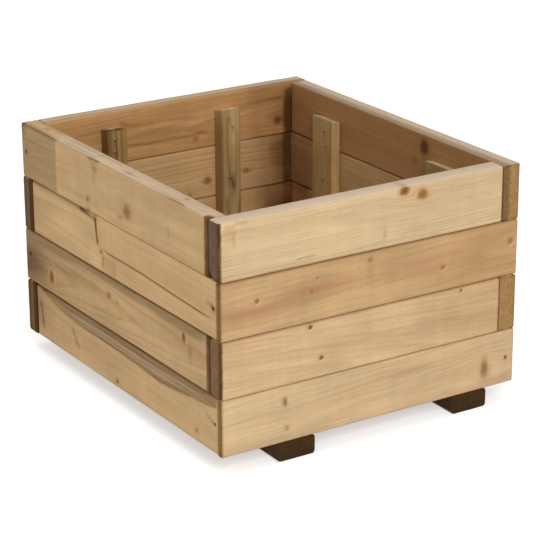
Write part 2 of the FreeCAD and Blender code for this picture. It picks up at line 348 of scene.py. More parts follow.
def wire_steel(name, shade, metallic, roughness):
    """Drawn steel wire, cut and struck: small scratches and spots of dulled zinc."""
    made, node = new_material(name)
    spots = node("TexNoise", node("TexCoord").outputs["Object"], 900.0, 3.0)
    tint = node("MapRange", spots, 0.35, 0.65, 0.55, 1.0)
    metal = node("VectorMath", shade, tint, operation="SCALE")
    rough = node("MapRange", spots, 0.35, 0.65, roughness + 0.2, roughness)
    node("OutputMaterial", node("BsdfPrincipled", metal, metallic, rough))
    return made


# Wooden bars

END_CUTS = (0.0012, 0.0026, 0.0045, 0.0065)  # metres from a bar's ends, so that these can be eased
SAME = 1e-6  # metres within which two places are one
ON_FACE = 1e-4  # metres from a face or an end within which a point lies on it
WORN = 4 * MM  # how far the wear of an end's edges reaches
LEAN_RUN = 0.6  # metres along which the lean of a pith is given
FAR = 1e9  # beyond every distance here
MARKS = ("dark", "weather", "red", "pale")  # the channels of the marks attribute


def bar_mesh(size, arrises, segments, grid, rebate=None, refine=(), cracks=()):
    """A bar along X with rounded long edges, cut into a grid fine enough to be shaped.

    Its outer face lies at Y 0 and its lower edge at Z 0. The radii are those of the outer lower,
    outer upper, inner lower and inner upper edges. A rebate is (length, thickness left).
    """
    long, thick, high = size
    plan = [(0, 0), (long, 0), (long, thick), (0, thick)]
    if rebate:
        cut, lip = rebate
        plan[3:] = (cut, thick), (cut, lip), (0, lip)
    mesh = bmesh.new()
    base = mesh.faces.new([mesh.verts.new((x, y, 0.0)) for x, y in plan])
    grown = bmesh.ops.extrude_face_region(mesh, geom=[base])
    raised = [item for item in grown["geom"] if isinstance(item, bmesh.types.BMVert)]
    bmesh.ops.translate(mesh, verts=raised, vec=(0.0, 0.0, high))
    bmesh.ops.recalc_face_normals(mesh, faces=mesh.faces[:])

    def along(edge):
        one, other = (vert.co for vert in edge.verts)
        return abs(one.x - other.x) > 1e-5 and (one - other).yz.length < SAME

    for radius, y, z in zip(arrises, (0, 0, thick, thick), (0, high, 0, high)):
        chosen = [edge for edge in mesh.edges
                  if along(edge) and (edge.verts[0].co.yz - Vector((y, z))).length < SAME]
        bmesh.ops.bevel(mesh, geom=chosen, offset=radius, offset_type="OFFSET", segments=segments,
                        profile=0.5, affect="EDGES", material=-1, clamp_overlap=False)

    def edges_of(faces):
        return list(dict.fromkeys(edge for face in faces for edge in face.edges))

    def cut_at(place, normal, faces=None):
        chosen = mesh.faces[:] if faces is None else faces
        edges = edges_of(chosen)
        ends = dict.fromkeys(vert for edge in edges for vert in edge.verts)
        bmesh.ops.bisect_plane(mesh, geom=[*ends, *edges, *chosen], dist=SAME, plane_co=place,
                               plane_no=normal)

    def near(test):
        return [face for face in mesh.faces if test(face.calc_center_median())]

    axes = [Vector(row) for row in Matrix.Identity(3)]
    outer_low, outer_high, inner_low, inner_high = arrises
    for axis, first, last in (
        (2, max(outer_low, inner_low), high - max(outer_high, inner_high)),
        (1, max(outer_low, outer_high), thick - max(inner_low, inner_high)),
    ):
        steps = max(1, round((last - first) / grid))
        places = [first + (last - first) * step / steps for step in range(steps + 1)]
        if rebate and axis == 1:
            places.append(lip)
        for place in places:
            cut_at(axes[axis] * place, axes[axis])
    if rebate:
        cut_at(axes[0] * cut, axes[0])
    spans = {}
    for edge in mesh.edges:
        if along(edge):
            spans.setdefault(round(edge.calc_length(), 5), []).append(edge)
    for span, edges in sorted(spans.items()):
        cuts = max(1, round(span / grid) - 1)
        bmesh.ops.subdivide_edges(mesh, edges=edges, cuts=cuts, use_grid_fill=False)
    for gap in END_CUTS:
        for x in (gap, long - gap):
            cut_at(axes[0] * x, axes[0])

    # Finer faces round nails, and five close lines down every crack, so that it can open.
    for x, z, reach in refine:
        chosen = near(lambda spot: abs(spot.x - x) < reach and abs(spot.z - z) < reach
                      and spot.y < outer_low)
        bmesh.ops.subdivide_edges(mesh, edges=edges_of(chosen), cuts=2, use_grid_fill=True)
    for points, width in cracks:
        for (x0, z0), (x1, z1) in zip(points, points[1:]):
            run = Vector((x1 - x0, 0, z1 - z0)).normalized()
            side = Vector((-run.z, 0, run.x))
            for shift in (-width, -width / 2, 0.0, width / 2, width):
                line = Vector((x0, 0, z0)) + side * shift
                chosen = near(lambda spot: spot.y < ON_FACE
                              and min(x0, x1) - grid < spot.x < max(x0, x1) + grid
                              and min(z0, z1) - 2 * grid < spot.z < max(z0, z1) + 2 * grid
                              and abs((spot - line).dot(side)) < 2 * grid)
                if chosen:
                    cut_at(line, side, chosen)
    bmesh.ops.recalc_face_normals(mesh, faces=mesh.faces[:])
    return mesh


def add_object(name, data):
    """Adds an object with this data to the scene."""
    made = bpy.data.objects.new(name, data)
    bpy.context.scene.collection.objects.link(made)
    return made


def mesh_object(name, mesh, *materials):
    """Turns a bmesh into an object with these materials, and frees it."""
    data = bpy.data.meshes.new(name)
    mesh.to_mesh(data)
    mesh.free()
    for material in materials:
        data.materials.append(material)
    return add_object(name, data)


def put_attribute(mesh, name, kind, values):
    """Gives the mesh's vertices an attribute."""
    made = mesh.attributes.new(name=name, type=kind, domain="POINT")
    field = "color" if kind == "FLOAT_COLOR" else "vector"
    made.data.foreach_set(field, values.astype(np.float32).ravel())


def line_distance(u, v, points):
    """Every vertex's distance from a line of points, and how far along it that lies, 0 to 1."""
    best, along = np.full(len(u), FAR), np.zeros(len(u))
    total = sum(math.dist(a, b) for a, b in zip(points, points[1:]))
    done = 0.0
    for (u0, v0), (u1, v1) in zip(points, points[1:]):
        run = math.dist((u0, v0), (u1, v1))
        t = np.clip(((u - u0) * (u1 - u0) + (v - v0) * (v1 - v0)) / run ** 2, 0, 1)
        gap = np.hypot(u - u0 - t * (u1 - u0), v - v0 - t * (v1 - v0))
        along = np.where(gap < best, (done + t * run) / total, along)
        best = np.minimum(gap, best)
        done += run
    return best, along


def ease(t):
    """0 below 0, 1 above 1, and smooth between."""
    t = np.clip(t, 0.0, 1.0)
    return t * t * (3 - 2 * t)


def waves(u, v, seed, periods):
    """A smooth uneven field from 0 to 1 over a face."""
    total = np.zeros(len(u))
    for turn, (along, across) in enumerate(periods):
        total += np.sin(2 * math.pi * (u / along + v / across) + seed * (1.7 + turn)) / len(periods)
    return 0.5 + 0.5 * total


def stain_share(place, patch, soft, u, v, seed):
    """How strongly a stain shows at each point, all in millimetres."""
    if isinstance(place[0], tuple):
        gap, share = line_distance(u, v, place)
        return ease(1.3 - gap / soft) * ease(np.minimum(share, 1 - share) * 7 + 0.15)
    if patch:
        first, lower, last, upper = place
        ragged = min(soft * 0.5, 4.0) * (waves(u, v, seed, ((47, 61), (23, -31), (11, 17))) - 0.5)
        inside = np.minimum(np.minimum(u - first, last - u), np.minimum(v - lower, upper - v))
        return ease((inside + ragged) / soft + 0.5)
    middle_u, middle_v, reach_u, reach_v = place
    return ease((1 - np.hypot((u - middle_u) / reach_u, (v - middle_v) / reach_v)) / soft)


def grain_and_knot(look, u, v, w, thick):
    """Each vertex's place in the grain, and its place from the nearest knot with its strength."""
    # The pith runs beside the board, a little out of line with it, and rings lie round it.
    pith_v, pith_w, lean_v, lean_w = (value * MM for value in look["pith"])
    across = v - pith_v - lean_v * (u / LEAN_RUN)
    depth = w - pith_w - lean_w * (u / LEAN_RUN)
    knot = np.zeros((len(u), 3))
    knot[:, 0] = 9.0
    nearest, second = np.full(len(u), FAR), np.full(len(u), FAR)
    for ku, kv, radius, stretch, strength in look["knots"]:
        du, dv = (u - ku * MM) / (radius * MM * stretch), (v - kv * MM) / (radius * MM)
        reach = np.hypot(du, dv)
        swerve = np.hypot((u - ku * MM) / (radius * MM * 2.2), dv)
        across -= (v - kv * MM) * 0.7 / np.maximum(swerve, 1.0) ** 2
        closer = reach < nearest
        second = np.where(closer, nearest, np.minimum(second, reach))
        nearest = np.where(closer, reach, nearest)
        for column, part in enumerate((du, dv, strength * ease((2.9 - reach) / 0.4))):
            knot[:, column] = np.where(closer, part, knot[:, column])
    knot[:, 2] *= ease((second - nearest) / 0.7)
    if look["knots_inside"]:
        knot[:, 2] *= ease(2 * w / thick)
    rings = look["rings"]
    return np.stack((u + look["seed"] * 3.1, across * rings, depth * rings), axis=1), knot


def stain_effects(look, u, v, w, sides, high):
    """How far each vertex is changed by its stains and seams and by painted light and shade."""
    effect = {kind: np.zeros(len(u)) for kind in (*MARKS, "bright", "warm", "rings")}
    for words, place, soft, strength in look["stains"]:
        kind, *more = words.split()
        side = next((word for word in more if word in sides), "out")
        height = w if side == "top" else v
        share = stain_share(place, "patch" in more, soft, u / MM, height / MM, look["seed"])
        effect[kind] += strength * share * sides[side]
    # The inner face gets painted shade: its own brightness, warmth and weather.
    inner_shade_brightness, inner_shade_warmth, inner_shade_weather = look["inside"]
    effect["weather"] += look["bloom"] + inner_shade_weather * sides["in"]
    effect["bright"] += (inner_shade_brightness - 1) * sides["in"]
    effect["warm"] += inner_shade_warmth * sides["in"]
    # The arrises along each seam are darkened, partly dirt and partly painted shade of the groove
    # between the boards.
    seam = ease(1 - np.minimum(v, high - v) / (look["arris"] * MM))
    seam *= 1 - look["open_top"] * (v > high / 2)
    lower_seam, upper_seam = look["seam"]
    seam *= np.where(v > high / 2, upper_seam, lower_seam)
    effect["dark"] += seam * (sides["out"] + 0.5 * sides["in"])
    # The top face of a top board gets a painted sheen, paler and pinker, and painted shade that
    # darkens it.
    top = look["open_top"] * sides["top"]
    effect["pale"] += look["bleach"] * top
    effect["bright"] += look["top_bright"] * top
    return effect


def dress_bar(name, mesh, matrix, size, start, look, face_material, end_material):
    """Shapes a bar's surface, writes what its material reads, and makes the object."""
    mesh.normal_update()
    for face in mesh.faces:
        face.smooth = abs(face.normal.x) < 0.9
        face.material_index = 0 if face.smooth else 1
    for edge in mesh.edges:
        edge.smooth = len({face.material_index for face in edge.link_faces}) == 1
    made = mesh_object(name, mesh, face_material, end_material)
    data = made.data
    count = len(data.vertices)
    flat = np.empty(count * 3, dtype=np.float32)
    data.vertices.foreach_get("co", flat)
    along, deep, up = flat.reshape(-1, 3).astype(float).T
    long, thick, high = size
    u, w, v = along + start, deep, up
    seed = look["seed"]
    grain, knot = grain_and_knot(look, u, v, w, thick)

    out = np.clip(1 - w / thick, 0, 1)
    sides = {
        "out": ease(out * 3 - 1.4), "in": ease(1.6 - out * 3), "all": np.ones(count),
        "top": ease((v - high + 2.4 * MM) / (1.6 * MM)), "face": ease((5 * MM - w) / (3 * MM)),
    }
    effect = stain_effects(look, u, v, w, sides, high)

    # Planing and drying leave the faces slightly wavy, always inwards of the CAD's faces.
    wavy = look["wave"] * MM
    w = w + wavy * waves(u, v, seed, ((0.31, 0.9), (0.17, -0.4), (0.09, 0.21))) * out
    w = w - wavy * waves(u, v, seed + 2, ((0.27, 0.7), (0.13, 0.33))) * (1 - out)
    sag = wavy * 1.4 * waves(u, w, seed + 5, ((0.43, 1.0), (0.19, 1.0), (0.07, 1.0)))
    v = v - sag * ease((v / high - 0.5) * 2)
    rise = wavy * 0.9 * waves(u, w, seed + 7, ((0.37, 1.0), (0.11, 1.0)))
    v = v + rise * ease((0.5 - v / high) * 2)
    front = deep < look["arris"] * MM
    for points, width, depth, dark in look["cracks"]:
        gap, share = line_distance(u, up, [(a * MM, b * MM) for a, b in points])
        taper = ease(np.minimum(share, 1 - share) * 8) * front
        w = w + depth * MM * taper * np.clip(1 - gap / (width * MM * 0.5), 0, 1)
        effect["dark"] += dark * taper * ease(1.35 - gap / (width * MM * 1.1))
    for nu, nv, reach, depth, dark in look["dents"]:
        gap = np.hypot(u - nu * MM, v - nv * MM) / (reach * MM)
        w = w + depth * MM * front * ease(1.25 - gap)
        effect["dark"] += dark * front * ease(1.7 - gap)
    for border, depth, weather in look["wane"]:
        edge = np.interp(u / MM, *zip(*border)) * MM
        ragged = waves(u, v * 0, seed + 11, ((0.083, 1), (0.031, 1), (0.013, 1))) - 0.5
        inside = v - edge - 0.8 * MM * ragged
        run = ease((u / MM - border[0][0]) / 25) * ease((border[-1][0] - u / MM) / 8)
        slope = np.clip(inside / np.maximum(high - edge, 1e-3), 0, 1)
        ripple = waves(u, v, seed + 6, ((0.21, 0.011), (0.13, 0.007)))
        step = 0.12 * ease(inside / (1.5 * MM)) + (0.7 + 0.3 * ripple) * slope
        w = w + depth * MM * run * out * step
        bark = weather * run * sides["out"]
        effect["weather"] += bark * ease(inside / (5 * MM) + 0.4)
        effect["dark"] += 0.4 * bark * ease(1 - abs(inside - 2.5 * MM) / (3 * MM))
        effect["dark"] += 0.35 * bark * ripple * ease(inside / (3 * MM))

    # The edges of the ends are eased too, the outer upright one sometimes heavily.
    left, right = u - start, start + long - u
    for gap, radius in zip((left, right), look["end_round"]):
        near = np.clip(1 - gap / (radius * MM), 0, 1)
        pull = radius * MM * (1 - np.sqrt(1 - near ** 2))
        w = w + pull * np.clip(1 - 2 * w / thick, 0, 1)
        v = v + np.minimum(pull, 1.5 * MM) * (1 - 2 * v / high)
    x = left
    for shift, at_end, inwards in ((3, x < ON_FACE, 1), (4, x > long - ON_FACE, -1)):
        x = x + inwards * wavy * waves(v, w, seed + shift, ((0.06, 0.9), (0.033, 0.5))) * at_end
    lower_cut, upper_cut = look["ends"]
    x = x + lower_cut * MM * (1 - x / long) - upper_cut * MM * (x / long)
    x = x + look["slope"] * MM * (deep / thick) * (1 - x / long)
    worn = ease(1 - np.minimum(left, right) / WORN)
    rim = np.minimum(deep, np.minimum(up, high - up))
    effect["dark"] += 0.2 * worn * ease(1 - rim / WORN)
    # A sawn end is browner in an uneven band, 11 mm wide, under the worked face.
    uneven = 0.5 + 0.5 * waves(v, v, seed, ((0.009, 1), (0.0051, 1)))
    effect["dark"] += look["end_band"] * worn * ease(1.4 - deep / (11 * MM)) * uneven
    for corner, deep_at, up_at, reach in look["corners"]:
        gap = np.hypot(deep - deep_at * MM, up - up_at * MM)
        gap = np.hypot((left - corner * MM) * 0.6, gap)
        knocked = 0.6 * reach * MM * ease(1 - gap / (2.4 * reach * MM))
        w = w + knocked * (-1 if deep_at else 1)
        v = v + knocked * (-1 if up_at else 1)
    data.vertices.foreach_set("co", np.stack((x, w, v), axis=1).astype(np.float32).ravel())

    put_attribute(data, "grain", "FLOAT_VECTOR", grain)
    put_attribute(data, "knot", "FLOAT_VECTOR", knot)
    marks = np.stack([effect[kind] for kind in MARKS], axis=1)
    put_attribute(data, "marks", "FLOAT_COLOR", np.clip(marks, 0, 1))
    tone = np.tile(np.array(look["tone"], dtype=float), (count, 1))
    tone[:, 0] *= 1 + effect["bright"]
    tone[:, 1] += effect["warm"]
    tone[:, 2] *= 1 + effect["rings"]
    put_attribute(data, "tone", "FLOAT_COLOR", np.clip(tone, 0, 2))
    data.transform(matrix)
    data.update()
    return made


def add_bar(name, node, place, size, look, arrises, segments, grid, materials,
            start=0.0, rebate=None):
    """Adds a shaped bar that stands for its node, moves with the box and has the slot's finish."""
    mesh = bar_mesh(
        size, arrises, segments, grid, rebate,
        [(u * MM - start, v * MM, 2.4 * reach * MM) for u, v, reach, *_ in look["dents"]],
        [([(u * MM - start, v * MM) for u, v in points], width * MM)
         for points, width, *_ in look["cracks"]],
    )
    made = dress_bar(name + node, mesh, place, size, start, look, *materials)
    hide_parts(node)
    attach(made, "root")


# Places of stains that several pieces share, as patches of (from, lower, to, upper).
WHOLE = (-50, -20, 700, 120)
LEFT_END, LEFT_RIM = (-10, -10, 0.5, 110), (-10, -5, 2.5, 100)
RIGHT_PART, RIGHT_CORNER = (400, -20, 600, 120), (550, -20, 700, 120)
RIGHT_LIP = (557, -5, 570, 100)

# What is known of the pieces, in millimetres along them and up: for a wall board from its wall's
# left corner and its own lower edge, for a batten down from its top and across from its left.
# The tone is brightness, warmth, contrast of the rings and greyness of the ends, and inside is
# the painted light and shade of the inner face: the same brightness, then the warmth and weather
# that it adds to that face. A knot is
# (along, up, radius, stretch, strength), live where its strength is below 0. A crack is (points,
# width, depth, darkness), a dent (along, up, radius, depth, darkness), a wane (its lower border,
# depth, weathering) and a corner that was knocked off (along, in, up, reach).
LOOKS = {
    "front_board_1": dict(
        tone=(0.95, 0.11, 0.12, 1.0), pith=(-90, 22, 5, 3), rings=0.62, dents=[], seam=(0.4, 0.0),
        end_round=(5.0, 1.2), knots=[(336, 88, 9, 1.15, -1.0), (371, 76, 9.5, 1.15, -0.85)],
        cracks=[([(134, 12), (150, 14.6), (171, 14)], 1.0, 0.6, 0.4)], corners=[(0, 32, 0, 7)],
        top_bright=-0.09),
    "front_board_2": dict(
        tone=(0.88, 0.46, 0.3, 0.15), pith=(40, 50, 14, -10), rings=0.6, seam=(0.3, 0.45),
        bloom=0.08,
        knots=[(64, 56, 5, 1.1, 0.6), (174, 71, 3, 1.1, 0.4), (163, 52, 5, 1.1, -0.5),
               (272, 82, 5, 1.1, -0.6), (414, 41, 5, 1.1, 0.45), (550, 60, 7, 1.0, 0.5)],
        dents=[]),
    "front_board_3": dict(
        tone=(0.965, 0.3, 0.32, 0.7), pith=(20, 60, -22, 12), rings=0.6, dents=[],
        seam=(0.15, 0.35), end_round=(5.0, 1.2),
        knots=[(161, 88, 4.5, 1.1, 1.0), (182, 33, 4.5, 1.15, 0.9), (452, 89, 3.5, 1.2, 0.8)]),
    "front_board_4": dict(
        tone=(0.98, 0.22, 0.2, 0.15), pith=(110, 56, 12, 8), rings=0.6, seam=(0.3, 0.15),
        edges=(1.0, 0.7),
        knots=[(114, 69, 7, 0.8, -0.7), (118, 24, 5, 1.1, 0.45), (505, 34, 15, 0.6, -0.8)],
        cracks=[([(114, 78), (115, 60)], 0.9, 1.0, 0.6)], dents=[(549, 46, 3.5, 1.6, 0.6)]),
    "left_board_1": dict(
        tone=(1.13, 0.38, 0.25, 0.4), pith=(30, -60, 16, 6), rings=0.7, seam=(0.12, 0.0),
        edges=(0.55, 1.0), bloom=0.28, bleach=0.45, top_bright=-0.08,
        knots=[(371, 35, 13, 1.1, -0.75), (347, 20, 5, 1.2, 0.35), (238, 21, 5, 1.2, 0.6),
               (238, 2, 5, 1.2, 0.5), (266, 79, 7, 1.2, -0.4), (250, 93, 5, 1.2, 0.3)],
        dents=[(16, 46, 4.2, 2.0, 0.7)], end_round=(4.0, 1.5)),
    "left_board_2": dict(
        tone=(1.21, 0.4, 0.26, 0.4), pith=(60, -70, -14, 10), rings=0.7, seam=(0.5, 0.12),
        edges=(1.0, 0.55), bloom=0.28, end_round=(4.0, 1.2),
        knots=[(279, 36, 4, 1.2, 0.7), (262, 90, 7, 1.0, 0.5)],
        cracks=[([(262, 92), (265, 62), (269, 43.6)], 2.6, 0.9, 0.5), ([(269, 43.6), (285, 41),
                (310, 40), (419, 39.2), (519, 34.7), (640, 31)], 1.4, 1.1, 0.5)],
        dents=[(633.5, 49.5, 3.2, 1.6, 0.5)]),
    "left_board_3": dict(
        tone=(1.1, 0.4, 0.65, 0.4), pith=(40, -38, 10, -16), rings=0.6, seam=(0.5, 0.5), bloom=0.3,
        knots=[(95, 31, 15, 0.65, -1.0), (302, 63, 7, 1.1, 0.6), (330, 58, 4, 1.3, 0.3),
               (543, 69, 10, 0.65, -1.0)],
        dents=[(16, 51, 3.5, 2.0, 0.6)], end_round=(1.2, 1.5)),
    "left_board_4": dict(
        tone=(1.12, 0.4, 0.32, 0.4), pith=(70, -60, 12, 8), rings=0.7, bloom=0.28,
        end_round=(4.0, 1.2), knots=[(322, 12, 5, 1.2, 0.7), (578, 20, 5, 1.1, 0.5)],
        wane=[([(40, 90), (66, 86), (122, 73), (194, 67), (265, 68), (334, 67), (401, 65),
              (465, 60), (515, 63), (560, 69), (600, 72), (634, 77), (641, 80)], 3.4, 0.6)],
        dents=[(633.5, 50, 3.2, 1.6, 0.5)]),
    "back_board_1": dict(
        tone=(0.98, 0.35, 1.1, 0.4), pith=(36, 62, 4, 26), rings=0.75, knots_inside=True,
        knots=[(236, 19, 6, 1.3, -0.5)], bleach=0.65, bloom=0.1, ends=(0.0, -1.6),
        inside=(1.15, 0.38, 0.06)),
    "back_board_2": dict(
        tone=(1.02, 0.3, 0.8, 0.75), pith=(100, 90, 6, 4), rings=0.7, knots_inside=True, bloom=0.1,
        inside=(1.12, 0.12, 0.2),
        knots=[(213, 32, 9, 1.1, 0.75), (131, 37, 7, 1.2, 0.6), (250, 12, 4, 1.2, 0.35)]),
    "back_board_3": dict(inside=(1.0, 0.1, 0.15)),
    "back_board_4": dict(tone=(0.66, 0.35, 0.45, 0.2)),
    "right_board_1": dict(
        tone=(1.13, 0.4, 1.0, 0.1), pith=(20, 80, 10, 8), rings=0.7, knots_inside=True,
        knots=[(215, 72, 19, 0.8, -1.0), (242, 41, 10, 1.1, -0.5)], inside=(0.83, 0.38, 0.14),
        end_band=0.1, bloom=0.12, top_bright=-0.36),
    "right_board_2": dict(
        tone=(0.96, 0.4, 0.9, 0.1), pith=(120, 90, 10, 8), inside=(0.9, 0.02, 0.3), bloom=0.15),
    "right_board_3": dict(tone=(1.12, 0.4, 0.5, 0.1), end_band=0.1),
    "back_batten_left": dict(tone=(1.07, 0.62, 1.3, 0.3), wave=1.2, rings=1.2, slope=4.0),
    "back_batten_right": dict(tone=(1.14, 0.1, 0.6, 0.1), wave=0.3, slope=5.0),
    "right_batten_front": dict(tone=(0.72, 0.35, 0.5, 0.1), slope=4.0),
    "right_batten_rear": dict(tone=(0.98, 0.35, 0.5, 0.1), slope=4.0),
}

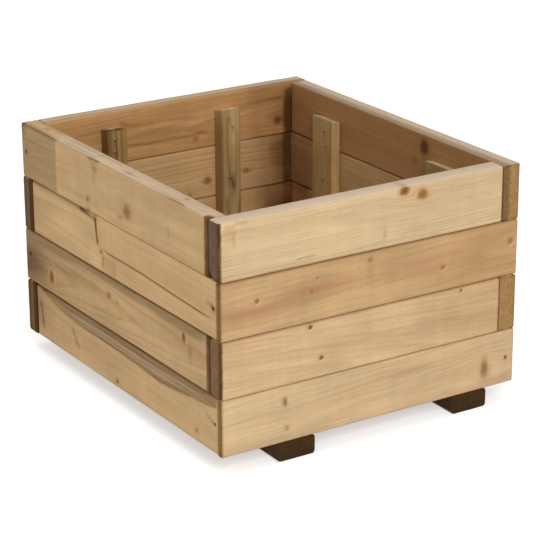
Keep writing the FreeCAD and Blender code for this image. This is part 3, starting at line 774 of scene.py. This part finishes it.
# The stains are (what, place, softness, strength). What says the kind, then its side unless this
# is the outer one. A place is a spot (along, up, reach along, reach up) or a line of points, or a
# patch (from, lower, to, upper) where what says so.
STAINS = {
    "front_board_1": [
        ("weather", (300, 24, 6, 15), 0.8, 0.4), ("weather", ((60, 2), (140, 3), (260, 2)), 3, 0.3),
        ("rings patch", (-20, -20, 600, 40), 24, 2.8), ("pale patch", WHOLE, 5, 0.14),
        ("pale", (336, 88, 11, 11), 0.5, -0.3), ("pale all", (371, 76, 13, 13), 0.5, -0.6),
        ("bright all patch", LEFT_END, 1, 0.45), ("bright patch", (-20, 58, 600, 100), 24, 0.03),
        ("warm", ((24, 88), (30, 92), (50, 90)), 4, 0.5),
        ("warm", ((27, 82), (23, 68), (26, 52)), 3.5, 0.5), ("warm", (14, 76, 16, 14), 0.9, 0.35),
        ("weather", ((6, 88), (27, 86)), 4, 0.3), ("red", (352, 84, 42, 16), 0.9, 0.25),
        ("dark face patch", LEFT_RIM, 3, 0.8)],
    "front_board_2": [
        ("red", (40, 36, 130, 26), 0.95, 0.8), ("red", (175, 52, 120, 24), 0.95, 0.7),
        ("red", (370, 52, 170, 30), 0.95, 0.6), ("warm patch", (440, -20, 590, 120), 80, 0.15),
        ("bright", (110, 16, 150, 18), 0.9, 0.08), ("bright", (70, 80, 120, 18), 0.9, 0.05),
        ("dark", (272, 62, 14, 30), 0.9, 0.12), ("bright", (180, 86, 120, 9), 0.9, 0.05)],
    "front_board_3": [
        ("warm", (40, 85, 120, 14), 0.9, 0.25), ("pale patch", WHOLE, 5, 0.12),
        ("bright all patch", LEFT_END, 1, 0.28), ("dark face patch", LEFT_RIM, 3, 0.7),
        ("warm patch", RIGHT_PART, 120, 0.14)],
    "front_board_4": [
        ("pale patch", WHOLE, 5, 0.16), ("dark", (504, 46, 12, 26), 0.9, 0.3),
        ("warm patch", RIGHT_PART, 120, 0.1), ("red", (508, 24, 18, 22), 0.9, 0.6),
        ("warm", (300, 70, 160, 14), 0.9, 0.2)],
    "left_board_1": [
        ("weather patch", (-20, -20, 127, 120), 5, 0.45),
        ("bright patch", (-20, -20, 127, 120), 5, -0.04), ("dark face", (2, 90, 24, 36), 0.9, 0.5),
        ("pale top patch", (-20, -10, 110, 50), 30, -0.4),
        ("dark face", ((0, 93), (60, 94), (140, 93)), 4, 0.3),
        ("dark face", ((236, 94), (258, 91), (284, 94)), 3.5, 0.25),
        ("dark top", ((-10, 1), (300, 0), (620, 1)), 2.5, 0.35),
        ("weather top", (362, 11, 34, 7), 0.7, 0.8), ("dark top", (262, 1, 24, 5), 0.8, 0.3),
        ("dark top", (360, 13, 12, 3.5), 0.8, 0.4), ("dark top", (525, 21, 10, 5), 0.8, 0.6),
        ("dark top", (64, 18, 18, 5), 0.8, 0.35),
        ("dark top", ((500, 0), (530, 2), (552, 1)), 2.5, 0.4),
        ("weather top", (500, 5, 50, 6), 0.8, 0.5), ("weather top", (200, 8, 90, 8), 0.9, 0.7),
        ("dark top", ((130, 20), (330, 24)), 3, 0.2),
        ("weather top", ((420, 9), (610, 12)), 5, 0.4),
        ("weather", ((258, 92), (262, 70), (258, 50)), 7, 0.25),
        # The dark patch at the near end is painted shadow of the gap in the corner joint.
        ("dark patch", (609, -5, 640, 100), 3, 0.85), ("bright", (560, 60, 70, 60), 0.9, 0.04),
        ("weather", ((500, 48), (503, 30)), 3, 0.4)],
    "left_board_2": [
        ("bright patch", (240, 4, 279, 36), 8, 0.09), ("bright patch", (284, 4, 330, 33), 8, -0.1),
        ("warm patch", (284, 4, 330, 33), 8, 0.25), ("weather", ((286, 33), (281, 8)), 3.5, 0.55),
        ("dark", ((205, 93), (240, 88), (268, 86)), 4, 0.4),
        ("dark", ((262, 88), (265, 62), (269, 42)), 5, 0.35),
        ("dark", ((269, 44), (310, 40), (419, 39), (519, 35), (640, 31)), 3.5, 0.2),
        ("bright", (160, 60, 90, 40), 0.9, 0.03), ("dark", (632, 50, 12, 16), 0.9, 0.3),
        ("dark", ((-10, 94), (130, 94), (265, 92)), 5, 0.5),
        ("dark", ((612, 58), (634, 51)), 4, 0.3), ("dark", (60, 5, 80, 8), 0.9, 0.2),
        ("dark", (30, 50, 120, 70), 0.9, 0.2)],
    "left_board_3": [
        ("weather all patch", (-200, -200, 130, 320), 170, 0.45),
        ("dark", (10, 40, 110, 60), 0.9, 0.75), ("weather", (95, 31, 17, 22), 0.5, -0.6),
        ("weather", (543, 69, 12, 16), 0.5, -0.5),
        ("weather", ((-10, 86), (130, 86), (203, 93), (341, 90), (439, 90), (532, 87),
         (640, 89)), 10, 0.7),
        ("bright", ((-10, 88), (203, 93), (439, 90), (640, 90)), 10, -0.1),
        ("weather", (540, 92, 110, 24), 0.9, 0.5), ("weather", (562, 50, 10, 26), 0.9, 0.5),
        ("weather", (180, 58, 140, 16), 0.9, 0.4), ("bright", (420, 35, 150, 30), 0.9, 0.05),
        # The dark patch at the near end is painted shadow of the gap in the corner joint.
        ("dark patch", (611, -5, 640, 100), 3, 0.85),
        ("dark", ((330, 48), (420, 40), (520, 46)), 4, 0.12),
        ("dark", ((240, 62), (290, 46), (300, 38), (285, 30), (235, 22)), 4, 0.16),
        ("dark", ((230, 70), (330, 50), (345, 38), (325, 26), (240, 12)), 4, 0.14)],
    "left_board_4": [
        ("red", ((49, 70), (54, 50), (54, 38), (60, 17)), 6, 0.7),
        ("dark", ((49, 72), (54, 45), (58, 22)), 2.5, 0.5),
        ("red", ((164, 57), (178, 37), (191, 24)), 6, 0.6),
        ("dark", ((166, 56), (178, 38), (190, 25)), 2.2, 0.4),
        ("weather", (20, 60, 44, 60), 0.9, 0.6), ("dark", (20, 50, 100, 70), 0.9, 0.4),
        ("dark", ((606, 60), (622, 54), (634, 51)), 3.5, 0.35),
        ("pale", ((150, 80), (300, 80), (430, 78), (620, 84)), 2.2, 0.4),
        ("pale", ((180, 73), (430, 71), (540, 74)), 2, 0.35),
        ("dark", ((100, 84), (300, 85), (450, 83), (630, 87)), 2.4, 0.35),
        ("dark", ((200, 70), (330, 69), (465, 63), (560, 72)), 2.6, 0.35),
        ("dark face", ((-10, 93), (300, 92), (640, 93)), 5, 0.35)],
    # On the back boards' inner faces, the dark patches and spots over their first 100 to 120 mm and
    # the dark line 36 mm along are painted shade in the inner corner with the right wall. Board 1
    # is also a little darker over its whole inner face, as painted shade.
    "back_board_1": [
        ("dark in patch", (-50, -20, 122, 120), 30, 0.27), ("dark in patch", WHOLE, 5, 0.08),
        ("dark in", ((400, 29), (331, 27), (290, 28), (249, 27), (205, 31)), 4, 0.45),
        ("dark in", (310, 42, 100, 17), 0.9, 0.35),
        ("dark in", ((394, 78), (370, 63), (340, 63), (310, 65), (227, 60)), 4, 0.22),
        ("dark in", (62, 27, 14, 12), 0.8, 0.3),
        ("dark in", ((46, 71), (122, 67), (160, 60)), 6, 0.25),
        ("dark in", ((36, -20), (36, 91)), 14, 0.5), ("dark in", (40, 40, 60, 52), 0.95, 0.25),
        ("pale top patch", (-20, 21, 600, 40), 3, -0.55),
        ("dark all", ((-10, 95), (300, 95), (560, 95)), 1.5, 0.2),
        ("dark top", ((-10, 1), (600, 1)), 4, 0.6), ("dark top", (3, 1, 14, 5), 0.8, 0.8),
        ("dark in", (420, 60, 120, 30), 0.9, 0.18)],
    "back_board_2": [
        ("dark in patch", (-50, -20, 115, 120), 60, 0.42),
        ("dark in", ((36, -20), (36, 115)), 14, 0.5), ("dark in", (40, 47, 70, 90), 0.95, 0.4),
        ("dark in patch", RIGHT_LIP, 3, 0.9)],
    "back_board_3": [
        ("dark in patch", (-50, -20, 110, 120), 70, 0.45),
        ("dark in", ((36, -20), (36, 115)), 14, 0.3), ("dark in", (40, 60, 110, 90), 0.95, 0.4)],
    "back_board_4": [
        ("dark in patch", (-50, 20, 100, 120), 70, 0.3), ("dark in patch", RIGHT_LIP, 3, 0.9),
        ("dark patch", RIGHT_LIP, 3, 0.3)],
    # The right boards' inner faces carry painted shade: board 1 is darker all over, and boards 1 to
    # 3 darken towards the back corner, where they also have less weather.
    "right_board_1": [
        ("dark in patch", WHOLE, 5, 0.42), ("dark in", (215, 72, 14, 16), 0.5, 0.35),
        ("dark in patch", (545, -20, 700, 120), 60, 0.06),
        ("weather in", (215, 72, 34, 36), 0.6, 0.25)],
    "right_board_2": [
        ("dark in patch", RIGHT_CORNER, 60, 0.6), ("weather in patch", RIGHT_CORNER, 60, -0.3)],
    "right_board_3": [
        ("dark in patch", RIGHT_CORNER, 60, 0.65), ("weather in patch", RIGHT_CORNER, 60, -0.3)],
    "back_batten_left": [
        # The dark strip along its left edge is partly the dark brown of a wane and partly painted
        # shade.
        ("dark all patch", (-20, -10, 400, 9), 5, 0.55),
        ("dark", ((0, 17), (60, 18), (150, 16)), 3, 0.5),
        ("dark", ((0, 27), (80, 28), (160, 29)), 2.5, 0.4),
        # The two pale spots round the upper nails are painted glints.
        ("bright", ((0, 22), (120, 22)), 4, 0.3), ("pale", (19, 14, 7, 5), 0.8, 0.7),
        ("pale", (41, 14, 7, 4), 0.8, 0.6), ("dark", (0, 20, 7, 24), 0.9, 0.6)],
    "back_batten_right": [
        ("weather", (150, 14, 80, 12), 0.9, 0.5), ("dark", (20, 16, 10, 8), 0.8, 0.4),
        ("dark", (140, 24, 28, 7), 0.8, 0.75), ("dark", ((16, 11), (90, 12), (150, 22)), 3, 0.45),
        ("pale", (152, 9, 14, 4), 0.8, 0.35), ("pale", (143, 40, 14, 4), 0.8, 0.3),
        ("dark", ((165, 9), (205, 14), (245, 21)), 3.5, 0.4),
        ("dark", ((160, 41), (205, 34), (245, 27)), 3.5, 0.4),
        ("bright", (195, 24, 34, 9), 0.8, 0.12), ("dark", ((30, 32), (110, 31), (160, 27)), 3, 0.3),
        ("dark all", ((0, 1), (330, 1)), 4, 0.45), ("bright", (20, 24, 90, 14), 0.9, 0.35),
        ("dark", ((40, 38), (340, 37)), 3, 0.3)],
    "right_batten_front": [("bright all patch", LEFT_END, 1, 0.55)],
    "right_batten_rear": [
        ("dark", ((60, 8), (330, 8)), 5, 0.25),
        ("bright all patch", (-20, 62.8, 400, 90), 0.8, 0.45)],
    "bearer_left": [("bright in", (24, 62, 14, 16), 0.7, 1.0)],
}


def look_of(node, seed, **changes):
    """A piece's look: seeded knots and an off-centre pith, changed by what is known of it."""
    dice = random.Random(seed)
    look = {
        "seed": dice.uniform(0, 9),
        "pith": (dice.uniform(-30, 120), dice.choice((-1, 1)) * dice.uniform(30, 70),
                 dice.uniform(-25, 25), dice.uniform(-12, 12)),
        "rings": dice.uniform(0.6, 0.9),
        "knots": [
            (dice.uniform(40, 520), dice.uniform(14, 82), dice.uniform(3.0, 6.5),
             dice.uniform(1.0, 1.3), dice.choice((0.7, 0.9, -0.7)))
            for _ in range(dice.randint(1, 3))],
        "tone": (dice.uniform(0.92, 1.0), dice.uniform(0.25, 0.55), 0.3, 0.35),
        "knots_inside": False, "inside": (0.98, 0.15, 0.3), "bloom": 0.0, "stains": [],
        "cracks": [], "dents": [], "wane": [], "corners": [],
        "ends": (0.0, 0.0), "end_round": (1.2, 1.2), "end_band": 0.35, "slope": 0.0, "wave": 0.3,
        "arris": 4.5, "edges": (1.0, 1.0), "seam": (0.4, 0.4),
        "bleach": 0.6, "top_bright": -0.15, "open_top": 0.0,
        **changes, **LOOKS.get(node, {}),
    }
    look["stains"] = [*STAINS.get(node, ()), *look["stains"]]
    return look


LEFT_NAIL, RIGHT_NAILS = 16.0, (549.0, 633.5)  # corner nails, on the short and the long walls


class PLANTER_OT_wall_boards(bpy.types.Operator):
    """Sixteen planed boards in four tiers, lapped round the corners"""

    bl_idname = "planter.wall_boards"
    bl_label = "Wall boards"

    def execute(self, context):
        planter = context.scene.planter
        sizes, colours = planter.sizes, planter.colours
        # Planed softwood is dull and fibrous, with darker late wood and dark-cored knots.
        face = softwood("softwood_planed_pressure_treated", planter, colours.early, colours.late,
                        colours.warm)
        # A sawn end drinks stain and dirt, so it is darker and greyer than the faces.
        end = end_grain("softwood_sawn_end_grain", planter, colours.end_early, colours.end_late,
                        colours.end_grey)
        (left, front), (right, back) = CAD_LOW.xy, CAD_HIGH.xy
        corners = ((left, front), (right, front), (right, back), (left, back))
        for turn, wall in enumerate(WALLS):
            for tier in TIERS:
                node = f"{wall}_board_{tier}"
                low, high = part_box(node)
                wall_place = Matrix.Translation((*corners[turn], low.z)) @ Matrix.Rotation(
                    turn * math.pi / 2, 4, "Z")
                (x0, y0, _), (x1, y1, _) = (wall_place.inverted() @ spot for spot in (low, high))
                start, stop = sorted((x0, x1))
                size = (stop - start, abs(y0 - y1), high.z - low.z)
                # The corner nail lies at mid height: at the left end of an odd tier, else right.
                nail = LEFT_NAIL if tier % 2 else RIGHT_NAILS[turn % 2]
                look = look_of(node, 17 * turn + tier, dents=[(nail, 47.5, 4, 2.0, 0.6)],
                               open_top=float(tier == 1))
                # A board may be worn more or less than others along its lower and upper edge.
                lower, upper = (sizes.wall_arris * share for share in look["edges"])
                inner = sizes.inner_arris
                arrises = (lower, upper, inner, inner)
                if tier == 1:
                    arrises = (lower, sizes.rim_arris, inner, sizes.rim_arris)
                lapped = tier % 2 == 0 and turn % 2 == 0
                place = wall_place @ Matrix.Translation((start, 0, 0))
                add_bar("planed_", node, place, size, look, arrises, 5, sizes.grid,
                        (face, end), start, (sizes.rebate, sizes.lip) if lapped else None)
        return {"FINISHED"}


def axes(x, y, z):
    """A turn that lays the X, Y and Z axes in these directions."""
    return Matrix((x, y, z)).transposed().to_4x4()


# Each batten's nails in millimetres: sideways to the left as seen from inside, and above ground.
BATTEN_NAILS = {
    "back_batten_left": ((6, 370), (6, 348), (-6, 262), (5, 174), (-4, 80)),
    "back_batten_right": ((-3, 357), (5, 262), (-6, 172), (4, 82)),
    "right_batten_rear": ((-7, 355), (-10, 329), (-3, 266), (4, 174), (-8, 82)),
    "right_batten_front": ((8, 352), (-8, 268), (6, 174), (-6, 80)),
    "left_batten_front": ((-10, 354), (9, 270), (-8, 176), (8, 82)),
    "left_batten_rear": ((9, 356), (-9, 266), (7, 172), (-8, 80)),
    "front_batten_left": ((-5, 356), (4, 268), (-4, 174), (5, 82)),
    "front_batten_right": ((4, 352), (-5, 264), (5, 176), (-4, 80)),
}


def batten_place(node):
    """A batten's frame, with X down it from its top, Y from its worked face into the wall."""
    low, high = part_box(node)
    middle = (low + high) / 2
    turn = WALLS.index(node.split("_")[0])
    # The worked face looks away from the wall, so the bar is turned half way round.
    into = Matrix.Rotation((turn + 2) * math.pi / 2, 4, "Z")
    across, thick = (high - low).xy if turn % 2 == 0 else (high - low).yx
    place = Matrix.Translation((middle.x, middle.y, high.z)) @ into
    place = place @ Matrix.Translation((0, -thick / 2, 0)) @ axes((0, 0, -1), (0, 1, 0), (1, 0, 0))
    return place, (high.z - low.z, thick, across)


class PLANTER_OT_battens(bpy.types.Operator):
    """Eight upright battens inside the walls, which the boards are nailed to"""

    bl_idname = "planter.battens"
    bl_label = "Battens"

    def execute(self, context):
        planter = context.scene.planter
        # Treated roofing batten is olive-brown and coarser than the boards, with a sawn top.
        face = softwood("softwood_batten_treated", planter, planter.colours.batten,
                        linear("#7E5F32"), linear("#97703C"))
        end = end_grain("softwood_batten_sawn_end", planter, linear("#CDB08A"), linear("#A88A60"),
                        linear("#8A7048"))
        for node, nails in BATTEN_NAILS.items():
            place, size = batten_place(node)
            # Dirt gathers round every nail and runs a little way down from it.
            stains = []
            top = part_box(node)[1].z / MM
            for side, height in nails:
                down, across = top - height, size[2] / MM / 2 - side
                stains += [("dark", (down, across, 7, 5), 0.9, 0.6),
                           ("dark", ((down, across), (down + 16, across)), 3, 0.3)]
            look = look_of(
                node, sum(map(ord, node)), arris=2.5, seam=(0.1, 0.1), wave=0.15, knots=[],
                tone=(0.92, 0.25, 0.8, 0.0), pith=(-20, -18, 6, 4), rings=0.8,
                inside=(1.0, 0.0, 0.0), end_band=0.0, stains=stains)
            place = place @ Matrix.Translation((0, 0, -size[2] / 2))
            add_bar("planed_", node, place, size, look,
                    (planter.sizes.batten_arris,) * 4, 3, planter.sizes.grid, (face, end))
        return {"FINISHED"}


FLOOR_BOARDS = sorted(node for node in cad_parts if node.startswith("floor_board_"))
BEARERS = ("bearer_left", "bearer_right")
COARSE_GRID = 4 * MM  # for pieces that hardly show


def floor_nails(node):
    """Two nails for each bearer under a floor board: across the box and along the board's width."""
    dice = random.Random(int(node[-1]))
    board_low, board_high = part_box(node)
    wide = (board_high.y - board_low.y) / MM
    places = []
    for bearer in BEARERS:
        low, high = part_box(bearer)
        for share in (0.24, 0.76):
            middle = (low.x + high.x) / 2 / MM
            places.append((middle + dice.uniform(-8, 8), wide * share + dice.uniform(-4, 4)))
    return places


class PLANTER_OT_floor_boards(bpy.types.Operator):
    """Six floor boards with drainage gaps between them"""

    bl_idname = "planter.floor_boards"
    bl_label = "Floor boards"

    def execute(self, context):
        planter = context.scene.planter
        colours = planter.colours
        # Sawn floor boards are duller than the walls, in the same treated softwood.
        face = softwood("softwood_floor_board_treated", planter, linear("#C7A46C"),
                        linear("#94703E"), colours.warm)
        end = end_grain("softwood_floor_board_sawn_end", planter, colours.end_early,
                        colours.end_late, colours.end_grey)
        for node in FLOOR_BOARDS:
            low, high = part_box(node)
            # Local Y runs down from the top face, so the worked face is the one that shows.
            size = (high.x - low.x, high.z - low.z, high.y - low.y)
            corner = Matrix.Translation((low.x, low.y, high.z))
            place = corner @ axes((1, 0, 0), (0, 0, -1), (0, 1, 0))
            stains = [("dark", (x - low.x / MM, y, 8, 6), 0.9, 0.5) for x, y in floor_nails(node)]
            look = look_of(
                node, 90 + int(node[-1]), arris=3.0, wave=0.25, tone=(0.95, 0.2, 0.5, 0.3),
                seam=(0.15, 0.15), inside=(1.0, 0.0, 0.0), stains=stains)
            add_bar("planed_", node, place, size, look,
                    (planter.sizes.floor_arris,) * 4, 3, COARSE_GRID, (face, end))
        return {"FINISHED"}


class PLANTER_OT_bearers(bpy.types.Operator):
    """Two dark stained bearers that carry the box"""

    bl_idname = "planter.bearers"
    bl_label = "Bearers"

    def execute(self, context):
        planter = context.scene.planter
        # Brown preservative hides most of the grain and is worn paler along the arrises.
        face = softwood("softwood_bearer_brown_stained", planter, planter.colours.bearer,
                        linear("#2C1F12"), linear("#5A4022"))
        end = end_grain("softwood_bearer_stained_end", planter, linear("#4C371D"),
                        linear("#2E1F0E"), linear("#463219"))
        for node in BEARERS:
            low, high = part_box(node)
            # Local X runs from front to back, Y down from the top and Z from right to left.
            size = (high.y - low.y, high.z - low.z, high.x - low.x)
            corner = Matrix.Translation((high.x, low.y, high.z))
            place = corner @ axes((0, 1, 0), (0, 0, -1), (-1, 0, 0))
            look = look_of(
                node, 70 + len(node), arris=5.0, wave=0.4, knots=[], tone=(1.0, 0.2, 0.6, 0.4),
                seam=(0.0, 0.0), inside=(0.9, 0.0, 0.0), end_band=0.0)
            add_bar("stained_", node, place, size, look,
                    (planter.sizes.bearer_arris,) * 4, 4, COARSE_GRID, (face, end))
        return {"FINISHED"}


def nail_head(place, radius):
    """A wire nail's flat head, domed at its rim, with its top facing along Z."""
    mesh = bmesh.new()
    bmesh.ops.create_cone(
        mesh, cap_ends=True, segments=14, radius1=radius, radius2=radius * 0.9, depth=1.6 * MM)
    top = [edge for edge in mesh.edges if all(end.co.z > 0 for end in edge.verts)]
    bmesh.ops.bevel(mesh, geom=top, offset=radius * 0.22, offset_type="OFFSET", segments=2,
                    profile=0.5, affect="EDGES", material=-1)
    bmesh.ops.transform(mesh, verts=mesh.verts[:], matrix=place)
    bmesh.ops.recalc_face_normals(mesh, faces=mesh.faces[:])
    return mesh


NAIL_LIFT = 0.1 * MM  # how far a head's middle stands above the wood
NAIL_LEAN = 7  # degrees that a head may lean


class PLANTER_OT_nails(bpy.types.Operator):
    """Nails that hold the corners, the battens and the floor"""

    bl_idname = "planter.nails"
    bl_label = "Nails"

    def execute(self, context):
        sizes, colours = context.scene.planter.sizes, context.scene.planter.colours
        # A struck wire nail keeps a bright face at first and goes brown as its zinc wears off.
        dull = wire_steel("steel_wire_nail_dulled", colours.rust, 0.6, 0.5)
        bright = wire_steel("steel_wire_nail_zinc_plated", colours.nail, 1.0, 0.35)
        corner_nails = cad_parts["corner_nails"].data.materials
        corner_nails.clear()
        corner_nails.append(dull)

        # Z of a head looks along the batten's -Y, out of its worked face.
        outward = axes((1, 0, 0), (0, 0, 1), (0, -1, 0))
        dice = random.Random(5)
        places = []
        for batten, nails in BATTEN_NAILS.items():
            place = batten_place(batten)[0]
            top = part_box(batten)[1].z
            for side, height in nails:
                over, aside = (
                    Matrix.Rotation(math.radians(dice.uniform(-NAIL_LEAN, NAIL_LEAN)), 4, axis)
                    for axis in "XY")
                spot = Matrix.Translation((top - height * MM, -NAIL_LIFT, -side * MM))
                places.append(place @ spot @ outward @ (over @ aside))
        for board in FLOOR_BOARDS:
            low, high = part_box(board)
            places += [Matrix.Translation((x * MM, low.y + y * MM, high.z + NAIL_LIFT))
                       for x, y in floor_nails(board)]
        heads = bmesh.new()
        for place in places:
            one = nail_head(place, sizes.nail_head / 2)
            piece = bpy.data.meshes.new("nail_head")
            one.to_mesh(piece)
            one.free()
            heads.from_mesh(piece)
            bpy.data.meshes.remove(piece)
        for face in heads.faces:
            face.smooth = True
        made = mesh_object("struck_nail_heads", heads, bright)
        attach(made, "root")
        return {"FINISHED"}


def seen_directly(node):
    """1 for what the camera sees straight, by reflection or through something clear, else 0."""
    path = node("LightPath").outputs
    seen = node("Math", path["Is Camera Ray"], path["Is Glossy Ray"], operation="ADD")
    return node("Math", seen, path["Is Transmission Ray"], operation="ADD", use_clamp=True)


LAMPS = (  # name, place and width in metres, power in watts
    ("key_softbox", (-0.95, -3.5, 2.6), 1.8, 62.0),
    ("top_softbox", (-0.4, 0.3, 3.4), 2.2, 18.0),
)
LAMP_AIM = (0, 0, 0.2)
# The camera stands 3.7 m off, as a long lens would, and is matched to the photograph's edges.
CAMERA_PLACE = (-1.81813, -2.86972, 1.41481)
CAMERA_HEADING, CAMERA_DOWN, CAMERA_ROLL = -32.70, 20.03, -0.18  # degrees


class PLANTER_OT_stage(bpy.types.Operator):
    """Pale paper floor, soft lamps, white surroundings and the camera"""

    bl_idname = "planter.stage"
    bl_label = "Studio"

    def execute(self, context):
        scene = context.scene
        # Matt paper: pale, without gloss, white to the camera where no shadow falls.
        paper, node = new_material("paper_matt_white")
        tooth = node("TexNoise", node("TexCoord").outputs["Object"], 60.0, 4.0)
        shade = node("MapRange", tooth, *NOISE, 0.985, 1.0)
        sheet = node("VectorMath", scene.planter.colours.paper, shade, operation="SCALE")
        lift = node("Math", seen_directly(node), 0.5, operation="MULTIPLY")
        glow = node("Emission", (1.0, 1.0, 1.0), lift)
        node("OutputMaterial", node("AddShader", node("BsdfDiffuse", sheet), glow))
        floor = bmesh.new()
        bmesh.ops.create_grid(floor, x_segments=8, y_segments=8, size=9.0)
        mesh_object("studio_paper", floor, paper)

        world = bpy.data.worlds.new("studio")
        world.use_nodes = True
        world.node_tree.nodes.clear()
        scene.world = world
        node = partial(add_node, world.node_tree)
        level = node("MapRange", seen_directly(node), 0.0, 1.0, 0.5, 1.0)
        node("OutputWorld", node("Background", (1.0, 1.0, 1.0), level))

        for name, place, width, power in LAMPS:
            lamp = bpy.data.lights.new(name, "AREA")
            lamp.shape, lamp.size, lamp.energy = "SQUARE", width, power
            made = add_object(name, lamp)
            made.location = place
            aim = Vector(LAMP_AIM) - made.location
            made.rotation_euler = aim.to_track_quat("-Z", "Y").to_euler()

        camera = bpy.data.cameras.new("camera")
        camera.sensor_width, camera.lens = 36.0, 139.5
        heading, down, roll = (
            Matrix.Rotation(math.radians(angle), 4, axis)
            for angle, axis in ((CAMERA_HEADING, "Z"), (90 - CAMERA_DOWN, "X"), (CAMERA_ROLL, "Z")))
        scene.camera = add_object("camera", camera)
        scene.camera.matrix_world = Matrix.Translation(CAMERA_PLACE) @ (heading @ down @ roll)
        scene.view_settings.view_transform = "Standard"
        return {"FINISHED"}


class PLANTER_PT_panel(bpy.types.Panel):
    """Builds the planter piece by piece"""

    bl_label = "Planter"
    bl_space_type = "VIEW_3D"
    bl_region_type = "UI"
    bl_category = "Planter"

    def draw(self, context):
        for step in STEPS:
            self.layout.operator(step.bl_idname)


STEPS = (PLANTER_OT_wall_boards, PLANTER_OT_battens, PLANTER_OT_floor_boards, PLANTER_OT_bearers,
         PLANTER_OT_nails, PLANTER_OT_stage)
CLASSES = (PlanterSizes, PlanterColours, PlanterSettings, *STEPS, PLANTER_PT_panel)


def register():
    for item in CLASSES:
        bpy.utils.register_class(item)
    bpy.types.Scene.planter = bpy.props.PointerProperty(
        type=PlanterSettings, name="Planter", description="What a user may change of the planter")


def unregister():
    del bpy.types.Scene.planter
    for item in reversed(CLASSES):
        bpy.utils.unregister_class(item)


def main():
    """Builds every piece and the studio."""
    register()
    bpy.ops.planter.wall_boards()
    bpy.ops.planter.battens()
    bpy.ops.planter.floor_boards()
    bpy.ops.planter.bearers()
    bpy.ops.planter.nails()
    bpy.ops.planter.stage()


if __name__ == "__main__":
    main()
